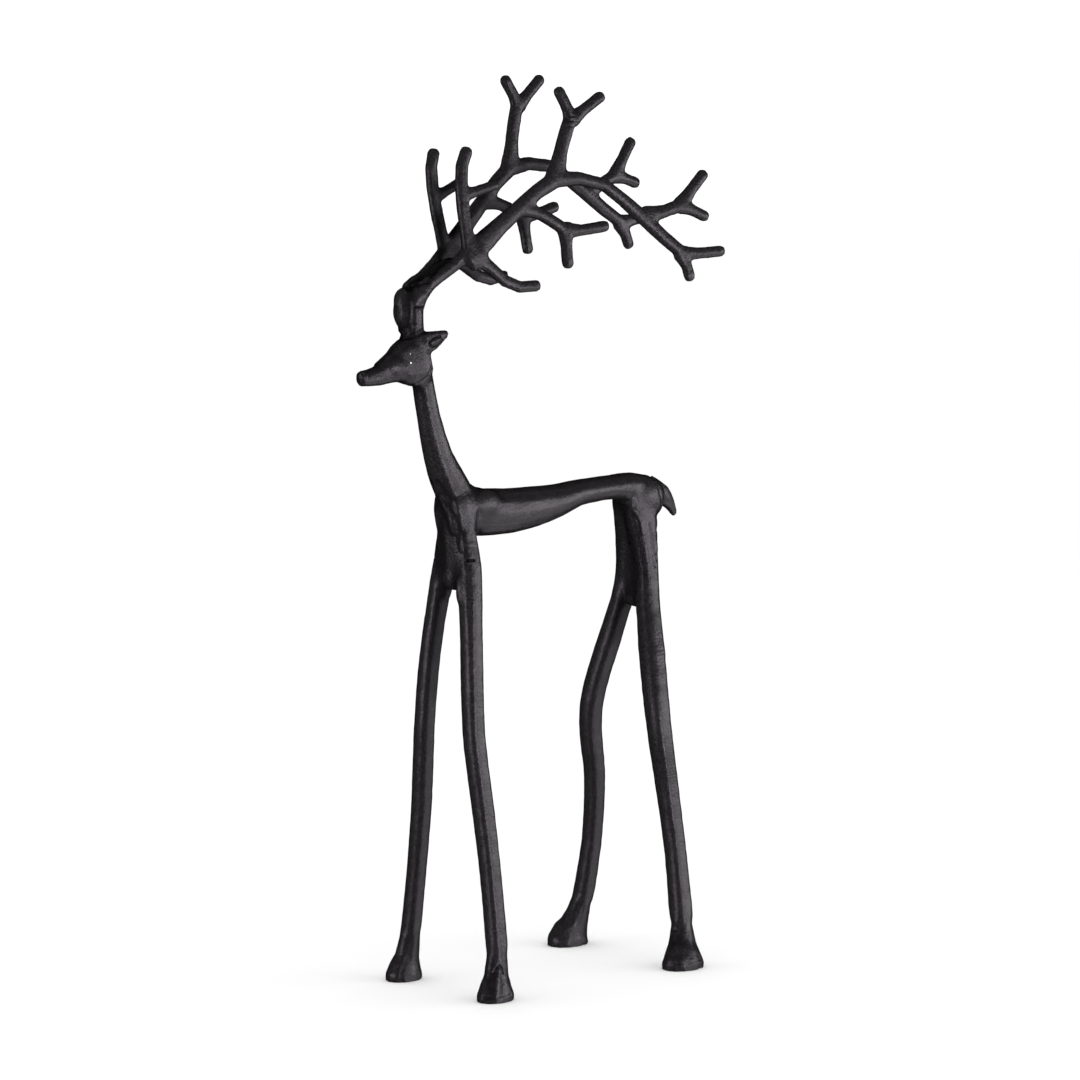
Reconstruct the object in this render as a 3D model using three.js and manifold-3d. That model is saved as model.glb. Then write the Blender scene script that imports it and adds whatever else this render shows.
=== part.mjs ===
// A tall, thin-legged stag, cast in metal in one piece: legs, body, neck, head and antlers are one solid.
// Millimetres, +Z up. The stag looks along -X; its left side is -Y.

import * as THREE from 'three';
import { mergeVertices } from 'three/addons/utils/BufferGeometryUtils.js';
import Module from 'manifold-3d';

const wasm = await Module();
wasm.setup();

// Sides of the casting: the mirrored limbs take one of these signs on Y
const LEFT = -1;
const RIGHT = 1;

// Legs: a squarish bar, a little stouter on the left side than on the right
const LEG_STOUT = { [LEFT]: 1.01, [RIGHT]: 0.94 };
const LEG_SIDES = 12;
const LEG_SQUARENESS = 3;

// Hooves: a flared foot with a flat sole, its toe ahead of the leg
const HOOF_LENGTH = 22.4;
const HOOF_WIDTH = 17;
const HOOF_RIM = 3.5;
const HOOF_SQUARENESS = 2.5;
const FRONT_HOOF = 0.97;
const REAR_HOOF = 1.14;
const REAR_SOLE_X = { [LEFT]: 73, [RIGHT]: 71 };
const SOLE_Z = -1.2;
const GROUND_SIDE = 400;
const GROUND_DEPTH = 100;

// Head and antlers turn a little to the stag's right and lean with it, in degrees
const HEAD_YAW = -7.5;
const HEAD_ROLL = 5;
const CROWN = [-90, 0, 357];

// Each antler is flat. The pair spreads backwards, and the right one was bent up more
const ANTLER_SPREAD = 7;
const ANTLER_LEAN = 1.4;
const ANTLER_PITCH = { [LEFT]: 0, [RIGHT]: 7.1 };
const ANTLER_HUB = { [LEFT]: [-53.5, -12.4, 402.2], [RIGHT]: [-50.2, 11.4, 401.4] };
const TINE_WIDTH = 6.4;
const TINE_TIP = 6.3;
const TINE_THICKNESS = 5;
const BEAM_WIDTH = 7.6;
const BEAM_THICKNESS = 5.4;
const HUB_THICKNESS = 6.4;
const FORK_FLARE = 1.6;

// Rounded tips are turned in this many steps; points closer than the weld become one
const TIP_STEPS = 2;
const WELD = 1e-4;
const radians = THREE.MathUtils.degToRad;

// A geometry with merged vertices and no flat triangles, as a solid
function solid(geometry) {
  geometry.deleteAttribute('normal');
  geometry.deleteAttribute('uv');
  const merged = mergeVertices(geometry, WELD);
  const index = merged.index.array;
  const faces = [];
  for (let i = 0; i < index.length; i += 3) {
    const [a, b, c] = [index[i], index[i + 1], index[i + 2]];
    if (a !== b && b !== c && c !== a) faces.push(a, b, c);
  }
  const mesh = new wasm.Mesh({
    numProp: 3,
    vertProperties: new Float32Array(merged.attributes.position.array),
    triVerts: new Uint32Array(faces),
  });
  return new wasm.Manifold(mesh);
}

// A limb: a turned capsule, bent along the smooth line through its stations. A station is
// [x, y, z, width, depth]: the width lies in the XZ plane across the limb, the depth along Y.
// The first end, buried in its parent, is a plain cone; the last is a dome. `dome` gives their
// lengths, as parts of the limb's half thickness.
function limb(stations, { sides = 8, rings = 2, squareness = 2.6, dome = [1, 1] } = {}) {
  const last = stations.length - 1;
  const line = new THREE.CatmullRomCurve3(stations.map(([x, y, z]) => new THREE.Vector3(x, y, z)));
  const sizes = new THREE.CatmullRomCurve3(
    stations.map(([, , , width, depth]) => new THREE.Vector3(width / 2, depth / 2, 0)),
  );

  const profile = [new THREE.Vector2(0, -1)];
  for (let k = 0; k <= last * rings; k++) profile.push(new THREE.Vector2(1, k / rings));
  for (let k = TIP_STEPS - 1; k >= 0; k--) {
    const turn = (k / TIP_STEPS) * (Math.PI / 2);
    profile.push(new THREE.Vector2(Math.sin(turn), last + Math.cos(turn)));
  }

  const geometry = new THREE.LatheGeometry(profile, sides);
  const points = geometry.attributes.position;
  const across = new THREE.Vector3(0, 1, 0);
  for (let i = 0; i < points.count; i++) {
    const along = THREE.MathUtils.clamp(points.getY(i), 0, last);
    const beyond = points.getY(i) - along;
    const centre = line.getPoint(along / last);
    const tangent = line.getTangent(along / last);
    const half = sizes.getPoint(along / last);
    const depth = across.clone().addScaledVector(tangent, -across.dot(tangent)).normalize();
    const width = depth.clone().cross(tangent);

    // The turned circle is squared off: its reach from the axis becomes a superellipse's
    const c = points.getX(i);
    const s = points.getZ(i);
    const round = (Math.abs(c) ** squareness + Math.abs(s) ** squareness) ** (1 / squareness);
    const square = round > 0 ? Math.hypot(c, s) / round : 0;
    const domeLength = Math.min(half.x, half.y) * dome[beyond < 0 ? 0 : 1];
    centre.addScaledVector(tangent, beyond * domeLength);
    centre.addScaledVector(width, -c * square * half.x);
    centre.addScaledVector(depth, s * square * half.y);
    points.setXYZ(i, centre.x, centre.y, centre.z);
  }
  return solid(geometry);
}

function join(solids) {
  return solids.reduce((whole, next) => whole.add(next));
}

function placed(body, matrix) {
  return body.transform(matrix.elements);
}

function mirrored(stations, side) {
  return stations.map(([x, y, z, ...size]) => [x, side * y, z, ...size]);
}

// The front leg runs up into the shoulder as a rounded sleeve
function frontLeg(side) {
  const stout = LEG_STOUT[side];
  const bar = [
    [-55, 6.5, 262, 9, 9],
    [-55, 7.5, 246, 11.5, 10.5],
    [-54.9, 9.8, 231, 12.8, 12.2],
    [-56.4, 12.7, 215, 12.2, 12],
    [-59.4, 17, 180, 10.6, 10.6],
    [-60.8, 20.2, 140, 10.4, 10.4],
    [-58.4, 25, 100, 10.4, 10.2],
    [-57.5, 30.6, 60, 10, 9.8],
    [-57.8, 35.2, 25, 10.6, 10],
  ].map(([x, y, z, w, d]) => [x, y, z, w * stout, d * stout]);
  return join([
    limb(mirrored(bar, side), { sides: LEG_SIDES, squareness: LEG_SQUARENESS }),
    hoof(side, [-57.8, 35.2], [-61, 37.3], FRONT_HOOF),
  ]);
}

// The rear leg widens into the rump, knees forward and out, and comes back at the hock
function rearLeg(side) {
  const stout = LEG_STOUT[side];
  const bar = [
    [78, 4, 259, 22, 12],
    [79.5, 5.6, 243, 18.3, 12],
    [80.2, 7, 229, 14, 12],
    [80.6, 8.2, 215, 12.6, 12],
    [79.2, 10.6, 200, 12.6, 12],
    [73.3, 21.2, 162, 11.8, 11.8],
    [71.1, 26.7, 140, 12, 12],
    [72.7, 28.6, 120, 11.6, 11.6],
    [76.1, 29.1, 100, 11, 11],
    [78.6, 34, 60, 10.4, 10.4],
    [77.2, 40, 25, 11.6, 11],
  ].map(([x, y, z, w, d]) => [x, y, z, w * stout, d * stout]);
  return join([
    limb(mirrored(bar, side), { sides: LEG_SIDES, squareness: LEG_SQUARENESS }),
    hoof(side, [77.2, 40], [REAR_SOLE_X[side], 45.6], REAR_HOOF),
  ]);
}

// A hoof: from the ankle, over the pastern, out to a low rim and a flat sole on the ground
function hoof(side, ankle, sole, size) {
  const between = (t) => ankle.map((a, i) => a + (sole[i] - a) * t);
  const [midX, midY] = between(0.55);
  const stations = [
    [...ankle, 26, 10.4, 10],
    [midX, midY, 12, HOOF_LENGTH * 0.66 * size, HOOF_WIDTH * 0.7 * size],
    [...sole, SOLE_Z + HOOF_RIM, HOOF_LENGTH * size, HOOF_WIDTH * size],
    [...sole, SOLE_Z - HOOF_RIM, HOOF_LENGTH * size, HOOF_WIDTH * size],
  ];
  return limb(mirrored(stations, side), { sides: LEG_SIDES, squareness: HOOF_SQUARENESS, dome: [1, 0.2] });
}

// Trunk, neck, the web between each pair of legs, and the short tail
function trunk() {
  const body = [
    [-55, 0, 259, 24, 19],
    [-38, 0, 258.5, 26, 21],
    [-18, 0, 257.8, 24.8, 22],
    [2, 0, 258.9, 22.2, 21],
    [18, 0, 260.8, 18.4, 20],
    [32, 0, 263.8, 14.6, 19],
    [46, 0, 264.9, 13.6, 18],
    [60, 0, 265.4, 13.6, 18],
    [74, 0, 264.2, 17.4, 19],
    [84, 0, 260.2, 22, 19],
  ];
  const neck = [
    [-50, 0, 259, 22, 19],
    [-61, 0, 277, 19.4, 17.5],
    [-68.2, 0, 291, 15.4, 15],
    [-75.4, -0.8, 312, 12.4, 12],
    [-80, -1.5, 330, 11.4, 11],
    [-82, -1.5, 342, 11, 10],
  ];
  const breast = [
    [-57.5, 0, 264, 15, 18],
    [-57, 0, 246, 13, 20],
    [-56.5, 0, 222.6, 10.5, 18],
  ];
  const crupper = [
    [80, 0, 256, 16, 16],
    [81, 0, 230, 12, 14],
    [80, 0, 201.5, 10, 13],
  ];
  const tail = [
    [89.6, 0, 262.6, 15.6, 10],
    [100, 0, 258.4, 12.4, 8],
    [106, 0, 253, 6.8, 6],
    [109.6, 0, 247.6, 3.4, 4],
  ];
  return join([
    limb(body, { sides: 14, squareness: 2.3, dome: [0.8, 0.8] }),
    limb(neck, { sides: 12, squareness: 2.4 }),
    limb(breast, { sides: 8, squareness: 3 }),
    limb(crupper, { sides: 8, squareness: 3 }),
    limb(tail),
  ]);
}

// Head, in its own frame: origin on the crown, +X to the back of the head
function head() {
  const skull = [
    [11, 0, -13, 23, 12],
    [6, 0, -13.8, 26.8, 15],
    [-1, 0, -14.6, 26.6, 15],
    [-10, 0, -17, 16.6, 12],
    [-20, 0, -21, 10.6, 9.5],
    [-30.5, 0, -22.2, 8, 7.5],
  ];
  const parts = [limb(skull, { sides: 12, squareness: 3, dome: [0.3, 0.5] })];
  for (const side of [LEFT, RIGHT]) {
    const ear = [
      [4, 5, -6, 13.4, 5],
      [11, 7, -3.8, 11.2, 5],
      [18.2, 9.5, -0.4, 4.4, 3.2],
    ];
    parts.push(limb(mirrored(ear, side)));
  }
  const turn = new THREE.Euler(radians(-HEAD_ROLL), 0, radians(HEAD_YAW), 'ZXY');
  const matrix = new THREE.Matrix4().makeRotationFromEuler(turn);
  matrix.setPosition(...CROWN);
  return placed(join(parts), matrix);
}

// The stem of one antler: up from the crown beside its twin, then bent back to the antler's hub
function stem(side) {
  const stations = [
    [-86, 3.4, 353, 9.4, 8],
    [-87.6, 4, 364, 8.8, 8],
    [-87.6, 4.6, 373, 9.6, 8],
    [-83, 5.2, 381, 9.4, 7.6],
    [-74, 6, 386.6, 6.6, 7],
    [-64, 8, 392.8, 6.6, 6.4],
  ];
  return limb([...mirrored(stations, side), [...ANTLER_HUB[side], 10, BEAM_THICKNESS]]);
}

// One antler, drawn in its own plane: u runs back from the hub and v up from it
function antler(side) {
  const station = ([u, v], width, thickness) => [u, 0, v, width, thickness];

  // A tine is flared where it leaves its parent and slimmer at the tip
  const tine = (points, { width = TINE_WIDTH, tip = TINE_TIP, flare = FORK_FLARE, rings = 2 } = {}) => {
    const stations = points.map((point, i) => {
      const taper = THREE.MathUtils.lerp(width, tip, i / (points.length - 1));
      return station(point, i === 0 ? width * flare : taper, TINE_THICKNESS);
    });
    return limb(stations, { rings, dome: [0.8, 0.9] });
  };

  const beamLine = [
    [-1, -3, 12.6],
    [6.6, 3.4, 12.2],
    [16.4, 11.4, 10],
    [27.6, 19.8, 9],
    [40.4, 29.4, 8.6],
    [52, 36, 10],
    [66, 36.2, BEAM_WIDTH],
    [81.6, 32.6, 7.3],
    [93, 24.2, 7.4],
    [106, 13.4, 8.4],
    [117.4, 3.2, BEAM_WIDTH],
    [129, -6, 7.4],
  ];
  const frontTine = [[-2, -6], [-3.8, 10], [-5, 22], [-5.4, 33], [-4.4, 44], [-1, 52]];
  const backTine = [[0, -4], [9, -10.5], [18, -18], [27, -21.6], [37, -21]];
  const hub = [station([-3.5, -7], 13, HUB_THICKNESS), station([4, -2.5], 15, HUB_THICKNESS)];

  const parts = [
    limb(beamLine.map(([u, v, width]) => station([u, v], width, BEAM_THICKNESS)), { rings: 1 }),
    limb(hub, { rings: 1 }),
    tine(frontTine, { width: 7.6, tip: 6.8, flare: 1.2, rings: 1 }),
    tine([[-4.5, 28.5], [3, 30], [15, 33.5]], { width: 5.8, tip: 5.8 }),
    tine(backTine, { width: 7.4, tip: 6.2, rings: 1 }),
    // The upright and its fork
    tine([[52.4, 37], [55.8, 50], [60.6, 63], [63.6, 69.5]], { width: 7.6, tip: 8, flare: 1.8 }),
    tine([[63.8, 68], [61.6, 74], [56.8, 83.6]]),
    tine([[64, 68.2], [71.2, 73], [82.4, 80.4]]),
    // The drop branch and its fork
    tine([[31, 21], [41, 17.5], [50, 12.5], [57, 8]], { width: 6.6, tip: 7.2 }),
    tine([[57, 8.5], [66, 8.2], [81, 10.2]]),
    tine([[56.5, 8], [56.5, 0], [56.8, -10.2]]),
    // The upper rear branch and its fork
    tine([[107, 15.5], [119, 17.6], [130, 21]], { width: 7, tip: 7.6 }),
    tine([[129.5, 21], [136, 28.6], [144.4, 37.4]]),
    tine([[130, 20.5], [137, 17.4], [144, 14.2]]),
    // The fork at the beam's end
    tine([[128, -6], [139, -5.8], [153, -5]]),
    tine([[127.6, -6], [131, -13], [132.4, -19]]),
  ];
  const lean = radians(side * ANTLER_LEAN - HEAD_ROLL);
  const yaw = radians(side * ANTLER_SPREAD + HEAD_YAW);
  const turn = new THREE.Euler(lean, radians(-ANTLER_PITCH[side]), yaw, 'ZXY');
  const matrix = new THREE.Matrix4().makeRotationFromEuler(turn);
  matrix.setPosition(...ANTLER_HUB[side]);
  return placed(join(parts), matrix);
}

// Everything below the ground is cut off, which leaves the four flat soles
function cutAtGround(body) {
  const block = new THREE.BoxGeometry(GROUND_SIDE, GROUND_SIDE, GROUND_DEPTH);
  block.translate(0, 0, SOLE_Z - GROUND_DEPTH / 2);
  return body.subtract(solid(block));
}

const pieces = [trunk(), head()];
for (const side of [LEFT, RIGHT]) {
  pieces.push(frontLeg(side), rearLeg(side), stem(side), antler(side));
}
const casting = cutAtGround(join(pieces));

const result = casting.getMesh();
const geometry = new THREE.BufferGeometry();
geometry.setAttribute('position', new THREE.BufferAttribute(new Float32Array(result.vertProperties), 3));
geometry.setIndex(new THREE.BufferAttribute(new Uint32Array(result.triVerts), 1));
geometry.computeVertexNormals();
geometry.computeBoundingBox();

const blackCoat = new THREE.MeshStandardMaterial({ color: 0x302f30, roughness: 0.55, metalness: 0.3 });
const stag = new THREE.Mesh(geometry, blackCoat);
stag.name = 'stag';

// The part's origin is the middle of the underside of its box
const { min, max } = geometry.boundingBox;
const group = new THREE.Group();
group.position.set(-(min.x + max.x) / 2, -(min.y + max.y) / 2, -min.z);
group.add(stag);
export default group;
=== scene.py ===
# %% [markdown]
# # A tall cast-metal stag
# The real ornament is one casting: somebody pours metal into sand, breaks off the sprues, files
# the seams and sprays the whole thing satin black. So it has no separate parts, but it has a
# skin with a lot to show: webs in the forks, file flats on the legs, cold folds, grain.
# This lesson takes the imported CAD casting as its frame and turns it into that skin.

# %% Load the frame
import math

import bmesh
import bpy
import numpy as np
from mathutils import Euler, Matrix, Vector, noise
from mathutils.bvhtree import BVHTree


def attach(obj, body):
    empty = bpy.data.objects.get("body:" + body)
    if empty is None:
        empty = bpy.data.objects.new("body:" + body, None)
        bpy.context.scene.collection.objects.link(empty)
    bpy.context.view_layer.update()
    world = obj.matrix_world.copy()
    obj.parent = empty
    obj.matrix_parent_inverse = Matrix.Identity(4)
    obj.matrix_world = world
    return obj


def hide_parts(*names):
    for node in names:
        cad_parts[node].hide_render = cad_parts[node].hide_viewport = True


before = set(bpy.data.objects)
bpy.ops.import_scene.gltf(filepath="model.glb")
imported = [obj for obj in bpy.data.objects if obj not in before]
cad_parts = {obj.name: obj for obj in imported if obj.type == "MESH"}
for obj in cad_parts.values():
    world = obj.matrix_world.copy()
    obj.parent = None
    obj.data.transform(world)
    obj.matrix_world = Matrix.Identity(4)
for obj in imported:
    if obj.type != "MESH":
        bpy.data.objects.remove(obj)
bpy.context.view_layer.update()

MM = 0.001

# %% [markdown]
# ## The photographer's place
# The camera comes first, because several marks on the skin are placed by looking through it.
# A long lens from 2.4 m away keeps the four legs nearly parallel, as they are in the photograph.
# A pixel of the 1080-pixel photograph is turned into a ray from the camera, and the ray is
# followed until it meets the metal.

# %% Camera
PHOTO_SIDE = 1080
FOCAL_PIXELS = 4420
CAMERA_PLACE = Vector((-1631.25, -1762.2, 511.2)) * MM
CAMERA_TARGET = Vector((5.55, -7.0, 242.2)) * MM
SENSOR = 36.0

camera_data = bpy.data.cameras.new("camera")
camera_data.sensor_width = SENSOR
camera_data.lens = FOCAL_PIXELS / PHOTO_SIDE * SENSOR
camera = bpy.data.objects.new("camera", camera_data)
bpy.context.scene.collection.objects.link(camera)
camera.location = CAMERA_PLACE
gaze = (CAMERA_TARGET - CAMERA_PLACE).normalized()
camera.rotation_mode = "QUATERNION"
camera.rotation_quaternion = gaze.to_track_quat("-Z", "Y")
bpy.context.scene.camera = camera
camera_right = gaze.cross(Vector((0, 0, 1))).normalized()
camera_up = camera_right.cross(gaze)
print("lens", round(camera_data.lens, 1), "mm, looking along", [round(v, 3) for v in gaze])


def sight(px, py):
    """The direction in which the camera sees a pixel of the photograph."""
    across = camera_right * (px - PHOTO_SIDE / 2)
    down = camera_up * (py - PHOTO_SIDE / 2)
    return (gaze * FOCAL_PIXELS + across - down).normalized()


# %% [markdown]
# ## Wax in the corners
# A pattern-maker presses wax into the inner corners of a pattern before it goes into the sand,
# so that the metal flows round them. The CAD casting has limbs that simply run into each other.
# Here a few eggs of wax join its copy: at the withers, between the front legs, over the
# shoulders and thighs, under the tail, in the cheeks' lower corners, and between the two antler
# stems, which are fused on the real stag. The CAD mesh itself stays as it is.

# %% Copy the casting and add the wax
SAME_SPOT = 0.001 * MM
WAX_DETAIL = 3
MIDDLE_WAX = [  # middle, radii, pitch
    ((-46.5, 0, 275.0), (9, 6, 3.4), -50),  # withers, at the neck
    ((-41.5, 0, 272.4), (9, 6, 3.4), -34),  # withers, in the bend
    ((-34, 0, 270.2), (10, 5.6, 3.2), -14),  # withers, at the back
    ((-83.8, 1.8, 370.5), (6.4, 7.2, 10.5), 0),  # the two stems
    ((-86.2, 1.8, 375.5), (4.2, 5.2, 7.5), 0),  # the stems' knuckle
    ((-61, 0, 390.2), (12, 5.6, 4.2), 34),  # behind the knuckle
    ((-54, -9.9, 219.5), (4.2, 3.0, 10), 0),  # inside the near front leg
    ((-50.5, 8.0, 219.5), (4.2, 3.2, 7.5), 0),  # inside the far front leg
]
SIDE_WAX = [  # the same, for both sides of the stag
    ((-50, 5.2, 259), (9, 6.3, 17), 4),  # shoulder
    ((-53.2, 7.4, 257), (4.4, 3.8, 15), 10),  # shoulder's front corner
    ((-36, 5.4, 264), (14, 6.2, 9), 0),  # from the shoulder to the flank
    ((88.5, 5.6, 259), (12.5, 5.6, 12), 0),  # thigh
    ((96, 3.4, 256.4), (4.2, 4.6, 4.6), 0),  # under the tail
    ((-88, 2.2, 341.2), (15, 5.8, 8), 0),  # cheek
]


def merged_copy(source):
    """A bmesh of the node's mesh, with its loose triangles joined up."""
    bm = bmesh.new()
    bm.from_mesh(source.data)
    bmesh.ops.remove_doubles(bm, verts=bm.verts, dist=SAME_SPOT)
    return bm


def add_wax(bm, middle, radii, pitch):
    """An egg of wax, in mm. Pitch, in degrees, lifts its +X end."""
    turn = Euler((0, math.radians(-pitch), 0)).to_matrix().to_4x4()
    size = Matrix.Diagonal((*radii, 1 / MM)) * MM
    place = Matrix.Translation(Vector(middle) * MM)
    bmesh.ops.create_icosphere(bm, subdivisions=WAX_DETAIL, radius=1, matrix=place @ turn @ size)


casting = merged_copy(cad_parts["stag"])
casting_mesh = bpy.data.meshes.new("casting")
casting.to_mesh(casting_mesh)
for egg in MIDDLE_WAX:
    add_wax(casting, *egg)
for side in (-1, 1):
    for (x, y, z), radii, pitch in SIDE_WAX:
        add_wax(casting, (x, side * y, z), radii, pitch)
print("the casting and its wax have", len(casting.faces), "faces")

# %% [markdown]
# ## From facets to one skin
# The copy is a heap of facetted limbs and eggs with long thin triangles, which neither smooth
# nor displace well. A voxel remesh draws one even net of small quads over all of it.

# %% Remesh
VOXEL = 1.1 * MM


def apply_modifiers(piece):
    """Bakes the piece's modifiers into its mesh."""
    graph = bpy.context.evaluated_depsgraph_get()
    finished = bpy.data.meshes.new_from_object(piece.evaluated_get(graph))
    piece.modifiers.clear()
    old = piece.data
    piece.data = finished
    bpy.data.meshes.remove(old)


skin = bpy.data.objects.new("stag_casting", bpy.data.meshes.new("stag_casting"))
bpy.context.scene.collection.objects.link(skin)
casting.to_mesh(skin.data)
casting.free()
net = skin.modifiers.new("net", "REMESH")
net.mode = "VOXEL"
net.voxel_size = VOXEL
apply_modifiers(skin)
print("the net has", len(skin.data.vertices), "points")

# %% [markdown]
# ## Numbers for all points at once
# Smoothing and carving move thousands of points, so they work on arrays: `spots` holds every
# point's place. A point's neighbours come from the mesh's edges.

# %% Arrays of points


def spots_of(mesh):
    """Every point's place, one row each."""
    flat = np.empty(len(mesh.vertices) * 3)
    mesh.vertices.foreach_get("co", flat)
    return flat.reshape(-1, 3)


def normals_of(mesh):
    """The direction in which the skin faces at every point."""
    flat = np.empty(len(mesh.vertices) * 3)
    mesh.vertex_normals.foreach_get("vector", flat)
    return flat.reshape(-1, 3)


def put_spots(mesh, spots):
    """Moves the mesh's points to these spots."""
    mesh.vertices.foreach_set("co", spots.ravel())
    mesh.update()


def neighbour_mean(mesh):
    """Returns a function that averages any per-point array over each point's neighbours."""
    ends = np.empty(len(mesh.edges) * 2, np.int64)
    mesh.edges.foreach_get("vertices", ends)
    a, b = ends.reshape(-1, 2).T
    count = len(mesh.vertices)
    links = np.bincount(a, minlength=count) + np.bincount(b, minlength=count)

    def mean(values):
        columns = values.reshape(count, -1).T
        sums = [np.bincount(a, c[b], count) + np.bincount(b, c[a], count) for c in columns]
        return (np.array(sums) / links).T.reshape(values.shape)

    return mean


def ramp(values, start, end):
    """0 at start, 1 at end, smooth between."""
    t = np.clip((values - start) / (end - start), 0, 1)
    return t * t * (3 - 2 * t)


print("the highest point stands at", round(spots_of(skin.data)[:, 2].max() / MM, 1), "mm")

# %% [markdown]
# ## Webs in the forks
# Plain smoothing would round the inner corners, but it would also shrink the thin tines.
# So here a point may only be smoothed outwards: hollows fill up, and edges stay.
# A pass that goes one step in and a slightly longer one out then takes off the net's own
# steps and keeps the size. What still got thinner than the CAD casting is put back on.

# %% Fill the hollows, smooth, and restore the thickness
FILL_ROUNDS, FILL_STRENGTH = 40, 0.9
STEP_IN, STEP_OUT = 0.5, -0.53
SOLE_BAND = 2.2 * MM
RESTORE_ROUNDS, MOST_RESTORED = 2, 1.0 * MM
EVEN_ROUNDS = 4


def fill_hollows(mesh, rounds):
    """Moves points outwards only, towards their neighbours. The soles stay flat."""
    mean = neighbour_mean(mesh)
    for _ in range(rounds):
        spots, normals = spots_of(mesh), normals_of(mesh)
        pull = mean(spots) - spots
        outward = np.einsum("ij,ij->i", pull, normals)
        keep = (spots[:, 2] > SOLE_BAND) * np.clip(outward, 0, None)
        put_spots(mesh, spots + FILL_STRENGTH * keep[:, None] * normals)


def smooth_in_and_out(mesh, rounds):
    """Smooths without shrinking. The soles stay flat."""
    mean = neighbour_mean(mesh)
    spots = spots_of(mesh)
    for _ in range(rounds):
        for step in (STEP_IN, STEP_OUT):
            pull = mean(spots) - spots
            pull[spots[:, 2] < SOLE_BAND] *= (1, 1, 0)
            spots = spots + step * pull
    put_spots(mesh, spots)


def evened(values, mean, rounds):
    """The values, averaged over each point's neighbours again and again."""
    for _ in range(rounds):
        values = mean(values)
    return values


def restore_thickness(mesh, tree):
    """Pushes points that lie inside the CAD casting back out to it, evenly."""
    mean = neighbour_mean(mesh)
    spots = spots_of(mesh)
    outward = evened(normals_of(mesh), mean, EVEN_ROUNDS)
    outward /= np.linalg.norm(outward, axis=1)[:, None]
    depth = np.zeros(len(spots))
    for i, (spot, normal) in enumerate(zip(spots, outward)):
        nearest = tree.find_nearest(Vector(spot))[0]
        depth[i] = (nearest - Vector(spot)).dot(Vector(normal))
    depth = evened(np.clip(depth, 0, MOST_RESTORED), mean, EVEN_ROUNDS)
    depth[spots[:, 2] < SOLE_BAND] = 0
    put_spots(mesh, spots + depth[:, None] * outward)
    return depth


cad_corners = [tuple(face.vertices) for face in casting_mesh.polygons]
cad_tree = BVHTree.FromPolygons([vertex.co for vertex in casting_mesh.vertices], cad_corners)
smooth_in_and_out(skin.data, rounds=4)
fill_hollows(skin.data, FILL_ROUNDS)
smooth_in_and_out(skin.data, rounds=6)
for _ in range(RESTORE_ROUNDS):
    restored = restore_thickness(skin.data, cad_tree)
    smooth_in_and_out(skin.data, rounds=2)
    print("put back at most", round(restored.max() / MM, 2), "mm, on average", round(restored.mean() / MM, 2))
bpy.data.meshes.remove(casting_mesh)

# %% [markdown]
# ## Rounder antlers
# The CAD antlers have plane sides, like cut plate. The real ones are slightly crowned and are
# thickest where they are widest. How squarely a patch faces sideways, averaged over its
# neighbourhood, says how far inside a wide flat it lies, and such patches bulge most.

# %% Bulge the antlers' flat sides
ANTLER_BOTTOM, ANTLER_FADE = 384 * MM, 14 * MM
BULGE = 0.5 * MM
BULGE_ROUNDS, BLEND_ROUNDS = 6, 2
LEAST_SQUARE, MOST_SQUARE = 0.45, 0.95

mean = neighbour_mean(skin.data)
spots, normals = spots_of(skin.data), normals_of(skin.data)
squareness = evened(np.abs(normals[:, 1]), mean, BULGE_ROUNDS)
high_up = ramp(spots[:, 2], ANTLER_BOTTOM, ANTLER_BOTTOM + ANTLER_FADE)
bulge = BULGE * ramp(squareness, LEAST_SQUARE, MOST_SQUARE) * high_up
spots[:, 1] += evened(bulge * np.sign(normals[:, 1]), mean, BLEND_ROUNDS)
put_spots(skin.data, spots)
smooth_in_and_out(skin.data, rounds=3)
print("the antlers bulge by up to", round(bulge.max() / MM, 2), "mm")

# %% [markdown]
# ## Legs: round in front, filed flat at the sides
# A leg is a rod that lay in the sand on its side, so its seam ran along the two broad sides, and
# the file left a flat there. Front and back stay round. A round face gives narrow streaks of
# light, and a flat one an even grey. The section is drawn as a radius that changes with the
# angle round the leg. A guess at that radius is corrected a few times until it fits. Each slice
# of the casting is then pushed to it. A leg's middle and size are measured slice by slice.

# %% Push each leg to its section
LEG_TOP, LEG_FADE = 205 * MM, 34 * MM
ANKLE_TOP, ANKLE_FADE = 34 * MM, 12 * MM
SLICE = 4 * MM
FLAT_POWER, ROUND_POWER = 4.0, 2.0
SECTION_ROUNDS, SECTION_STEP = 12, -0.35
LEG_GAIN = 1.03
THINNEST = 0.1 * MM


def leg_section(angle):
    """The section's radius, for a bar of half width 1: flat towards +Y and -Y, round towards X."""
    radius = np.ones_like(angle)
    c, s = np.abs(np.cos(angle)), np.abs(np.sin(angle))
    for _ in range(SECTION_ROUNDS):
        size = (radius * c) ** FLAT_POWER + (radius * s) ** ROUND_POWER
        radius = radius * size ** SECTION_STEP
    return radius


def one_leg(spots, front, left, top):
    """A mask of the points of one leg, below a height."""
    return (spots[:, 2] < top) & ((spots[:, 0] < 0) == front) & ((spots[:, 1] < 0) == left)


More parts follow.
